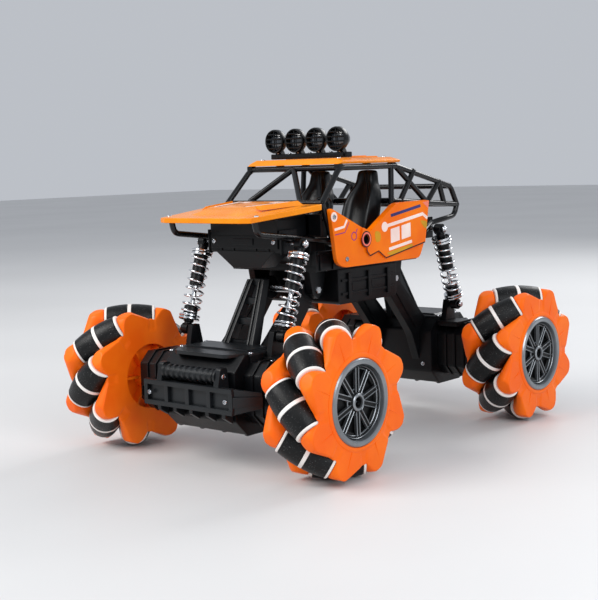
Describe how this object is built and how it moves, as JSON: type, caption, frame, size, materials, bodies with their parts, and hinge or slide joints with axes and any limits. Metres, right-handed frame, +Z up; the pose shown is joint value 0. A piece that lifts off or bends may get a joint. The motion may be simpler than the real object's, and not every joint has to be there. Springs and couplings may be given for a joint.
{
  "type": "rc stunt car",
  "caption": "Radio-controlled stunt buggy with skewed-roller wheels that drive sideways, swinging axles, coil-over shocks, tubular cage, roof lamps and orange panels.",
  "frame": {"origin": "on the ground plane, midway between the axles and between the left and right wheels", "axes": "+Z up, -Y towards the car's front, +X towards its left side"},
  "size_m": [0.199, 0.282, 0.1946],
  "materials": {
    "orange_plastic": "moulded orange hub plastic, satin gloss",
    "orange_paint": "orange enamel on pressed panels, clear coat",
    "roller_rubber": "matte black rubber",
    "roller_white": "white roller ring and end cap plastic",
    "rim_grey": "gunmetal painted rim plastic",
    "black_plastic": "black moulded plastic with a faint grain",
    "cage_tube": "satin black tube",
    "seat_plastic": "dark satin plastic",
    "lamp_plastic": "black lamp shells",
    "chrome": "bright chrome",
    "steel_screw": "zinc plated screw heads"
  },
  "bodies": {
    "chassis": {"chassis_frame": "black_plastic", "battery_box": "black_plastic", "hood": "orange_paint", "side_panel_left": "orange_paint", "side_panel_right": "orange_paint", "roof_panel": "orange_paint", "roll_cage": "cage_tube", "cockpit": "seat_plastic", "light_bar": "lamp_plastic"},
    "axle_front": {"axle_front_housing": "black_plastic", "front_bumper": "black_plastic"},
    "axle_rear": {"axle_rear_housing": "black_plastic"},
    "wheel_fl": {"wheel_fl_hub": "orange_plastic"},
    "wheel_fr": {"wheel_fr_hub": "orange_plastic"},
    "wheel_rl": {"wheel_rl_hub": "orange_plastic"},
    "wheel_rr": {"wheel_rr_hub": "orange_plastic"},
    "shock_fl_upper": {"shock_fl_cylinder": "black_plastic", "shock_fl_spring": "chrome"},
    "shock_fl_lower": {"shock_fl_rod": "chrome"},
    "shock_fr_upper": {"shock_fr_cylinder": "black_plastic", "shock_fr_spring": "chrome"},
    "shock_fr_lower": {"shock_fr_rod": "chrome"},
    "shock_rl_upper": {"shock_rl_cylinder": "black_plastic", "shock_rl_spring": "chrome"},
    "shock_rl_lower": {"shock_rl_rod": "chrome"},
    "shock_rr_upper": {"shock_rr_cylinder": "black_plastic", "shock_rr_spring": "chrome"},
    "shock_rr_lower": {"shock_rr_rod": "chrome"},
    "roller_fl_1": {"roller_fl_1": "roller_rubber"},
    "roller_fl_2": {"roller_fl_2": "roller_rubber"},
    "roller_fl_3": {"roller_fl_3": "roller_rubber"},
    "roller_fl_4": {"roller_fl_4": "roller_rubber"},
    "roller_fl_5": {"roller_fl_5": "roller_rubber"},
    "roller_fl_6": {"roller_fl_6": "roller_rubber"},
    "roller_fl_7": {"roller_fl_7": "roller_rubber"},
    "roller_fl_8": {"roller_fl_8": "roller_rubber"},
    "roller_fr_1": {"roller_fr_1": "roller_rubber"},
    "roller_fr_2": {"roller_fr_2": "roller_rubber"},
    "roller_fr_3": {"roller_fr_3": "roller_rubber"},
    "roller_fr_4": {"roller_fr_4": "roller_rubber"},
    "roller_fr_5": {"roller_fr_5": "roller_rubber"},
    "roller_fr_6": {"roller_fr_6": "roller_rubber"},
    "roller_fr_7": {"roller_fr_7": "roller_rubber"},
    "roller_fr_8": {"roller_fr_8": "roller_rubber"},
    "roller_rl_1": {"roller_rl_1": "roller_rubber"},
    "roller_rl_2": {"roller_rl_2": "roller_rubber"},
    "roller_rl_3": {"roller_rl_3": "roller_rubber"},
    "roller_rl_4": {"roller_rl_4": "roller_rubber"},
    "roller_rl_5": {"roller_rl_5": "roller_rubber"},
    "roller_rl_6": {"roller_rl_6": "roller_rubber"},
    "roller_rl_7": {"roller_rl_7": "roller_rubber"},
    "roller_rl_8": {"roller_rl_8": "roller_rubber"},
    "roller_rr_1": {"roller_rr_1": "roller_rubber"},
    "roller_rr_2": {"roller_rr_2": "roller_rubber"},
    "roller_rr_3": {"roller_rr_3": "roller_rubber"},
    "roller_rr_4": {"roller_rr_4": "roller_rubber"},
    "roller_rr_5": {"roller_rr_5": "roller_rubber"},
    "roller_rr_6": {"roller_rr_6": "roller_rubber"},
    "roller_rr_7": {"roller_rr_7": "roller_rubber"},
    "roller_rr_8": {"roller_rr_8": "roller_rubber"}
  },
  "joints": [
    {"name": "axle_front_swing", "type": "hinge", "parent": "chassis", "child": "axle_front", "pos_m": [0, -0.04, 0.096], "axis": [-1, 0, 0], "range_deg": [0, 10], "stiffness_Nm_per_rad": 1.2, "springref_deg": -17.19},
    {"name": "axle_rear_swing", "type": "hinge", "parent": "chassis", "child": "axle_rear", "pos_m": [0, 0.04, 0.096], "axis": [1, 0, 0], "range_deg": [0, 10], "stiffness_Nm_per_rad": 1.2, "springref_deg": -17.19},
    {"name": "wheel_fl_spin", "type": "hinge", "parent": "axle_front", "child": "wheel_fl", "pos_m": [0.082, -0.097, 0.044], "axis": [1, 0, 0], "continuous": true},
    {"name": "wheel_fr_spin", "type": "hinge", "parent": "axle_front", "child": "wheel_fr", "pos_m": [-0.082, -0.097, 0.044], "axis": [1, 0, 0], "continuous": true},
    {"name": "wheel_rl_spin", "type": "hinge", "parent": "axle_rear", "child": "wheel_rl", "pos_m": [0.082, 0.097, 0.044], "axis": [1, 0, 0], "continuous": true},
    {"name": "wheel_rr_spin", "type": "hinge", "parent": "axle_rear", "child": "wheel_rr", "pos_m": [-0.082, 0.097, 0.044], "axis": [1, 0, 0], "continuous": true},
    {"name": "shock_fl_tilt", "type": "hinge", "parent": "chassis", "child": "shock_fl_upper", "pos_m": [0.039, -0.0715, 0.1264], "axis": [-1, 0, 0], "range_deg": [0, 7.06]},
    {"name": "shock_fl_travel", "type": "slide", "parent": "shock_fl_upper", "child": "shock_fl_lower", "axis": [0, 0.3244, 0.9459], "range_m": [0, 0.0073], "deforming": ["shock_fl_spring"]},
    {"name": "shock_fr_tilt", "type": "hinge", "parent": "chassis", "child": "shock_fr_upper", "pos_m": [-0.039, -0.0715, 0.1264], "axis": [-1, 0, 0], "range_deg": [0, 7.06]},
    {"name": "shock_fr_travel", "type": "slide", "parent": "shock_fr_upper", "child": "shock_fr_lower", "axis": [0, 0.3244, 0.9459], "range_m": [0, 0.0073], "deforming": ["shock_fr_spring"]},
    {"name": "shock_rl_tilt", "type": "hinge", "parent": "chassis", "child": "shock_rl_upper", "pos_m": [0.039, 0.0715, 0.1264], "axis": [1, 0, 0], "range_deg": [0, 7.06]},
    {"name": "shock_rl_travel", "type": "slide", "parent": "shock_rl_upper", "child": "shock_rl_lower", "axis": [0, -0.3244, 0.9459], "range_m": [0, 0.0073], "deforming": ["shock_rl_spring"]},
    {"name": "shock_rr_tilt", "type": "hinge", "parent": "chassis", "child": "shock_rr_upper", "pos_m": [-0.039, 0.0715, 0.1264], "axis": [1, 0, 0], "range_deg": [0, 7.06]},
    {"name": "shock_rr_travel", "type": "slide", "parent": "shock_rr_upper", "child": "shock_rr_lower", "axis": [0, -0.3244, 0.9459], "range_m": [0, 0.0073], "deforming": ["shock_rr_spring"]},
    {"name": "roller_fl_1_spin", "type": "hinge", "parent": "wheel_fl", "child": "roller_fl_1", "pos_m": [0.082, -0.097, 0.078], "axis": [0.7071, -0.7071, 0], "continuous": true},
    {"name": "roller_fl_2_spin", "type": "hinge", "parent": "wheel_fl", "child": "roller_fl_2", "pos_m": [0.082, -0.12104, 0.06804], "axis": [0.7071, -0.5, -0.5], "continuous": true},
    {"name": "roller_fl_3_spin", "type": "hinge", "parent": "wheel_fl", "child": "roller_fl_3", "pos_m": [0.082, -0.131, 0.044], "axis": [0.7071, 0, -0.7071], "continuous": true},
    {"name": "roller_fl_4_spin", "type": "hinge", "parent": "wheel_fl", "child": "roller_fl_4", "pos_m": [0.082, -0.12104, 0.01996], "axis": [0.7071, 0.5, -0.5], "continuous": true},
    {"name": "roller_fl_5_spin", "type": "hinge", "parent": "wheel_fl", "child": "roller_fl_5", "pos_m": [0.082, -0.097, 0.01], "axis": [0.7071, 0.7071, 0], "continuous": true},
    {"name": "roller_fl_6_spin", "type": "hinge", "parent": "wheel_fl", "child": "roller_fl_6", "pos_m": [0.082, -0.07296, 0.01996], "axis": [0.7071, 0.5, 0.5], "continuous": true},
    {"name": "roller_fl_7_spin", "type": "hinge", "parent": "wheel_fl", "child": "roller_fl_7", "pos_m": [0.082, -0.063, 0.044], "axis": [0.7071, 0, 0.7071], "continuous": true},
    {"name": "roller_fl_8_spin", "type": "hinge", "parent": "wheel_fl", "child": "roller_fl_8", "pos_m": [0.082, -0.07296, 0.06804], "axis": [0.7071, -0.5, 0.5], "continuous": true},
    {"name": "roller_fr_1_spin", "type": "hinge", "parent": "wheel_fr", "child": "roller_fr_1", "pos_m": [-0.082, -0.097, 0.078], "axis": [-0.7071, -0.7071, 0], "continuous": true},
    {"name": "roller_fr_2_spin", "type": "hinge", "parent": "wheel_fr", "child": "roller_fr_2", "pos_m": [-0.082, -0.12104, 0.06804], "axis": [-0.7071, -0.5, -0.5], "continuous": true},
    {"name": "roller_fr_3_spin", "type": "hinge", "parent": "wheel_fr", "child": "roller_fr_3", "pos_m": [-0.082, -0.131, 0.044], "axis": [-0.7071, 0, -0.7071], "continuous": true},
    {"name": "roller_fr_4_spin", "type": "hinge", "parent": "wheel_fr", "child": "roller_fr_4", "pos_m": [-0.082, -0.12104, 0.01996], "axis": [-0.7071, 0.5, -0.5], "continuous": true},
    {"name": "roller_fr_5_spin", "type": "hinge", "parent": "wheel_fr", "child": "roller_fr_5", "pos_m": [-0.082, -0.097, 0.01], "axis": [-0.7071, 0.7071, 0], "continuous": true},
    {"name": "roller_fr_6_spin", "type": "hinge", "parent": "wheel_fr", "child": "roller_fr_6", "pos_m": [-0.082, -0.07296, 0.01996], "axis": [-0.7071, 0.5, 0.5], "continuous": true},
    {"name": "roller_fr_7_spin", "type": "hinge", "parent": "wheel_fr", "child": "roller_fr_7", "pos_m": [-0.082, -0.063, 0.044], "axis": [-0.7071, 0, 0.7071], "continuous": true},
    {"name": "roller_fr_8_spin", "type": "hinge", "parent": "wheel_fr", "child": "roller_fr_8", "pos_m": [-0.082, -0.07296, 0.06804], "axis": [-0.7071, -0.5, 0.5], "continuous": true},
    {"name": "roller_rl_1_spin", "type": "hinge", "parent": "wheel_rl", "child": "roller_rl_1", "pos_m": [0.082, 0.097, 0.078], "axis": [0.7071, 0.7071, 0], "continuous": true},
    {"name": "roller_rl_2_spin", "type": "hinge", "parent": "wheel_rl", "child": "roller_rl_2", "pos_m": [0.082, 0.07296, 0.06804], "axis": [0.7071, 0.5, 0.5], "continuous": true},
    {"name": "roller_rl_3_spin", "type": "hinge", "parent": "wheel_rl", "child": "roller_rl_3", "pos_m": [0.082, 0.063, 0.044], "axis": [0.7071, 0, 0.7071], "continuous": true},
    {"name": "roller_rl_4_spin", "type": "hinge", "parent": "wheel_rl", "child": "roller_rl_4", "pos_m": [0.082, 0.07296, 0.01996], "axis": [0.7071, -0.5, 0.5], "continuous": true},
    {"name": "roller_rl_5_spin", "type": "hinge", "parent": "wheel_rl", "child": "roller_rl_5", "pos_m": [0.082, 0.097, 0.01], "axis": [0.7071, -0.7071, 0], "continuous": true},
    {"name": "roller_rl_6_spin", "type": "hinge", "parent": "wheel_rl", "child": "roller_rl_6", "pos_m": [0.082, 0.12104, 0.01996], "axis": [0.7071, -0.5, -0.5], "continuous": true},
    {"name": "roller_rl_7_spin", "type": "hinge", "parent": "wheel_rl", "child": "roller_rl_7", "pos_m": [0.082, 0.131, 0.044], "axis": [0.7071, 0, -0.7071], "continuous": true},
    {"name": "roller_rl_8_spin", "type": "hinge", "parent": "wheel_rl", "child": "roller_rl_8", "pos_m": [0.082, 0.12104, 0.06804], "axis": [0.7071, 0.5, -0.5], "continuous": true},
    {"name": "roller_rr_1_spin", "type": "hinge", "parent": "wheel_rr", "child": "roller_rr_1", "pos_m": [-0.082, 0.097, 0.078], "axis": [-0.7071, 0.7071, 0], "continuous": true},
    {"name": "roller_rr_2_spin", "type": "hinge", "parent": "wheel_rr", "child": "roller_rr_2", "pos_m": [-0.082, 0.07296, 0.06804], "axis": [-0.7071, 0.5, 0.5], "continuous": true},
    {"name": "roller_rr_3_spin", "type": "hinge", "parent": "wheel_rr", "child": "roller_rr_3", "pos_m": [-0.082, 0.063, 0.044], "axis": [-0.7071, 0, 0.7071], "continuous": true},
    {"name": "roller_rr_4_spin", "type": "hinge", "parent": "wheel_rr", "child": "roller_rr_4", "pos_m": [-0.082, 0.07296, 0.01996], "axis": [-0.7071, -0.5, 0.5], "continuous": true},
    {"name": "roller_rr_5_spin", "type": "hinge", "parent": "wheel_rr", "child": "roller_rr_5", "pos_m": [-0.082, 0.097, 0.01], "axis": [-0.7071, -0.7071, 0], "continuous": true},
    {"name": "roller_rr_6_spin", "type": "hinge", "parent": "wheel_rr", "child": "roller_rr_6", "pos_m": [-0.082, 0.12104, 0.01996], "axis": [-0.7071, -0.5, -0.5], "continuous": true},
    {"name": "roller_rr_7_spin", "type": "hinge", "parent": "wheel_rr", "child": "roller_rr_7", "pos_m": [-0.082, 0.131, 0.044], "axis": [-0.7071, 0, -0.7071], "continuous": true},
    {"name": "roller_rr_8_spin", "type": "hinge", "parent": "wheel_rr", "child": "roller_rr_8", "pos_m": [-0.082, 0.12104, 0.06804], "axis": [-0.7071, 0.5, -0.5], "continuous": true}
  ],
  "couplings": [
    {"joint": "shock_fl_tilt", "follows": "axle_front_swing", "ratio": 0.68604},
    {"joint": "shock_fl_travel", "follows": "axle_front_swing", "m_per_rad": 0.04066},
    {"joint": "shock_fr_tilt", "follows": "axle_front_swing", "ratio": 0.68604},
    {"joint": "shock_fr_travel", "follows": "axle_front_swing", "m_per_rad": 0.04066},
    {"joint": "shock_rl_tilt", "follows": "axle_rear_swing", "ratio": 0.68604},
    {"joint": "shock_rl_travel", "follows": "axle_rear_swing", "m_per_rad": 0.04066},
    {"joint": "shock_rr_tilt", "follows": "axle_rear_swing", "ratio": 0.68604},
    {"joint": "shock_rr_travel", "follows": "axle_rear_swing", "m_per_rad": 0.04066}
  ]
}
